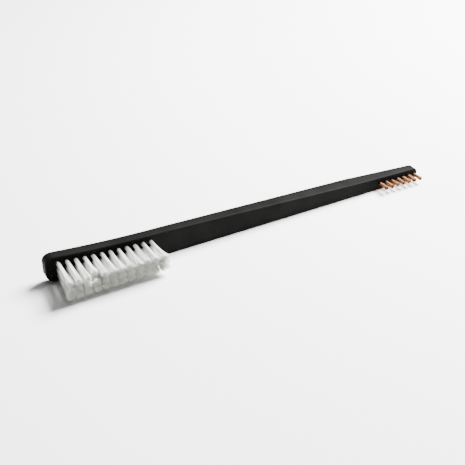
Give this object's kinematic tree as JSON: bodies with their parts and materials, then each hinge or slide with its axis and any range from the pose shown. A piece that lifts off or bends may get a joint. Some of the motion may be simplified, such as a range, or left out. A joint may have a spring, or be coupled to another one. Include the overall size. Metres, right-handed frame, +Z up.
{
  "type": "double-ended cleaning brush",
  "caption": "Slim black plastic brush with a long nylon bristle head at its wide end and a short row of copper wire tufts at its narrow end, lying on its side.",
  "frame": {"origin": "on the table, under the middle of the brush's length and depth, bristles included, as it lies on its side", "axes": "+X along the handle from the nylon end to the copper end, -Y the way the bristles point, +Z up across the handle's width"},
  "size_m": [0.178, 0.0203, 0.0124],
  "materials": {
    "black_plastic": "satin black moulded plastic with a fine eggshell texture",
    "nylon_bristle": "translucent white nylon monofilament, in loose bundles",
    "copper_wire": "bright straight copper-coloured wire with cut ends",
    "anchor_metal": "plain flat anchor wire"
  },
  "bodies": {
    "root": {"handle": "black_plastic", "nylon_tuft_upper_01": "nylon_bristle", "nylon_tuft_upper_02": "nylon_bristle", "nylon_tuft_upper_03": "nylon_bristle", "nylon_tuft_upper_04": "nylon_bristle", "nylon_tuft_upper_05": "nylon_bristle", "nylon_tuft_upper_06": "nylon_bristle", "nylon_tuft_upper_07": "nylon_bristle", "nylon_tuft_upper_08": "nylon_bristle", "nylon_tuft_upper_09": "nylon_bristle", "nylon_tuft_upper_10": "nylon_bristle", "nylon_tuft_upper_11": "nylon_bristle", "nylon_tuft_upper_12": "nylon_bristle", "nylon_tuft_middle_01": "nylon_bristle", "nylon_tuft_middle_02": "nylon_bristle", "nylon_tuft_middle_03": "nylon_bristle", "nylon_tuft_middle_04": "nylon_bristle", "nylon_tuft_middle_05": "nylon_bristle", "nylon_tuft_middle_06": "nylon_bristle", "nylon_tuft_middle_07": "nylon_bristle", "nylon_tuft_middle_08": "nylon_bristle", "nylon_tuft_middle_09": "nylon_bristle", "nylon_tuft_middle_10": "nylon_bristle", "nylon_tuft_middle_11": "nylon_bristle", "nylon_tuft_middle_12": "nylon_bristle", "nylon_tuft_lower_01": "nylon_bristle", "nylon_tuft_lower_02": "nylon_bristle", "nylon_tuft_lower_03": "nylon_bristle", "nylon_tuft_lower_04": "nylon_bristle", "nylon_tuft_lower_05": "nylon_bristle", "nylon_tuft_lower_06": "nylon_bristle", "nylon_tuft_lower_07": "nylon_bristle", "nylon_tuft_lower_08": "nylon_bristle", "nylon_tuft_lower_09": "nylon_bristle", "nylon_tuft_lower_10": "nylon_bristle", "nylon_tuft_lower_11": "nylon_bristle", "nylon_tuft_lower_12": "nylon_bristle", "copper_tuft_1": "copper_wire", "copper_tuft_2": "copper_wire", "copper_tuft_3": "copper_wire", "copper_tuft_4": "copper_wire", "copper_tuft_5": "copper_wire", "copper_tuft_6": "copper_wire", "copper_tuft_7": "copper_wire", "copper_anchor_1": "anchor_metal", "copper_anchor_2": "anchor_metal", "copper_anchor_3": "anchor_metal", "copper_anchor_4": "anchor_metal", "copper_anchor_5": "anchor_metal", "copper_anchor_6": "anchor_metal", "copper_anchor_7": "anchor_metal"}
  },
  "joints": []
}
